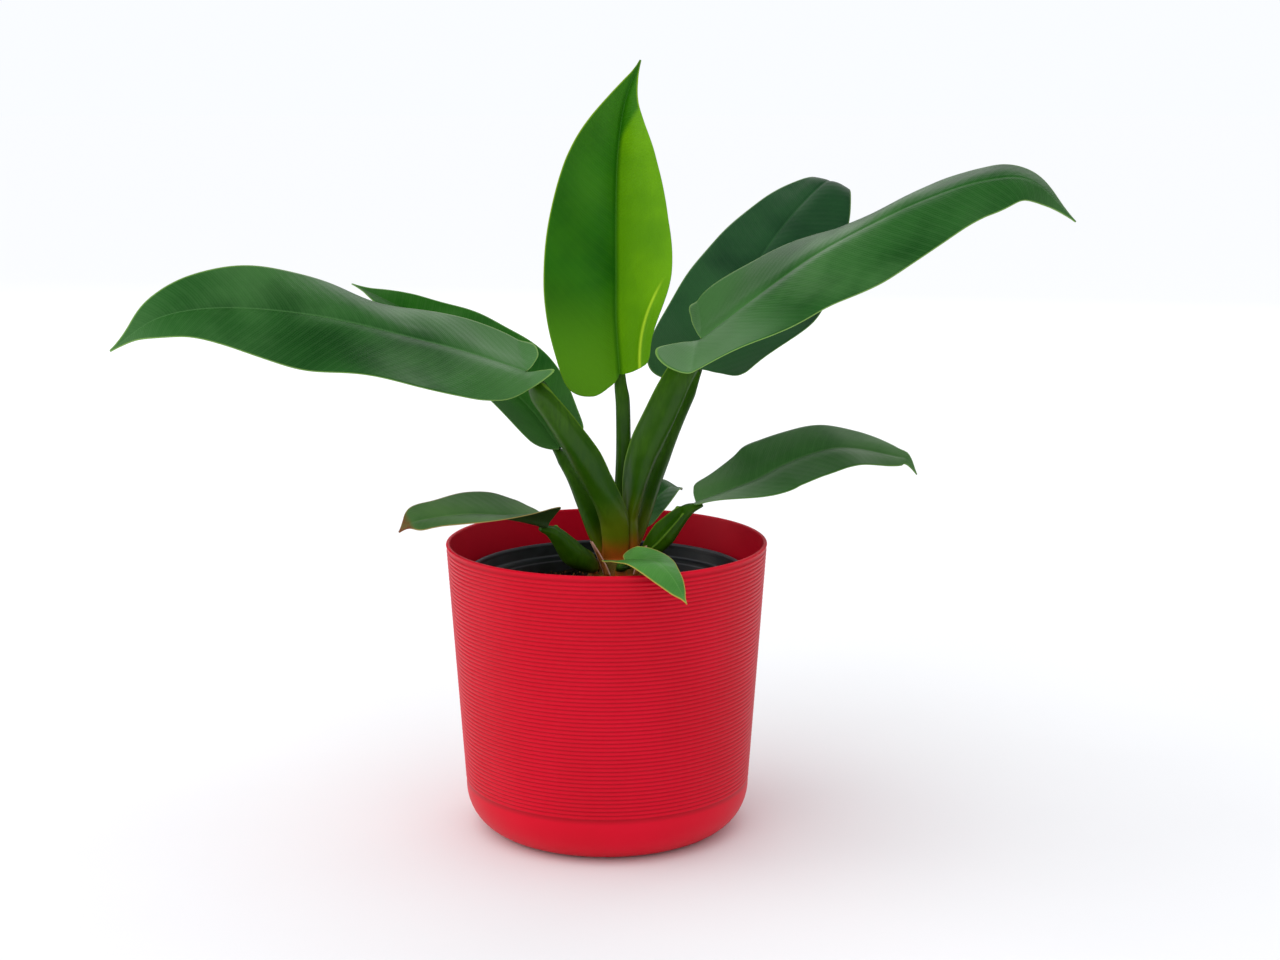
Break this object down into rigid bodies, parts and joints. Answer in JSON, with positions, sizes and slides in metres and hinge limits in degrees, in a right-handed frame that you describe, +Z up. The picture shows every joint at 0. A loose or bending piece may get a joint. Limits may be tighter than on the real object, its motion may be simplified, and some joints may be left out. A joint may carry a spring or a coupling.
{
  "type": "potted philodendron",
  "caption": "Young broad-leaved philodendron in a black grow pot and soil, standing inside a round horizontally ribbed red cover pot.",
  "frame": {"origin": "centre of the cover pot's flat underside, on the pot's own axis", "axes": "+Z up along the pot's axis; +X to the plant's right seen from its front; the front, with the small drooping leaf, faces -Y"},
  "size_m": [0.5223, 0.32, 0.4495],
  "materials": {
    "red_plastic": "satin moulded plastic, fine level ribs round the wall",
    "black_plastic": "thin pressed plastic, scuffed grey along the lip",
    "soil": "dark peat and bark crumbs with lighter fibres",
    "crown_skin": "yellow-brown ringed stem",
    "dry_scale": "dry papery scale leaf",
    "leaf": "leathery deep green blade, waxy sheen, faint side veins, pale edge",
    "young_leaf": "soft bright yellow-green blade, waxy sheen",
    "stalk": "smooth olive green stalk, paler along its wings"
  },
  "bodies": {
    "root": {"outer_pot": "red_plastic", "nursery_pot": "black_plastic", "soil": "soil", "crown": "crown_skin", "scale_left": "dry_scale", "scale_right": "dry_scale", "leaf_left_front": "leaf", "stalk_left_front": "stalk", "leaf_left_back": "leaf", "stalk_left_back": "stalk", "leaf_centre": "young_leaf", "stalk_centre": "stalk", "leaf_right_front": "leaf", "stalk_right_front": "stalk", "leaf_right_back": "leaf", "stalk_right_back": "stalk", "leaf_low_right": "leaf", "stalk_low_right": "stalk", "leaf_low_left": "leaf", "stalk_low_left": "stalk", "leaf_small_front": "leaf", "stalk_small_front": "stalk", "leaf_small_back": "leaf", "stalk_small_back": "stalk"}
  },
  "joints": []
}
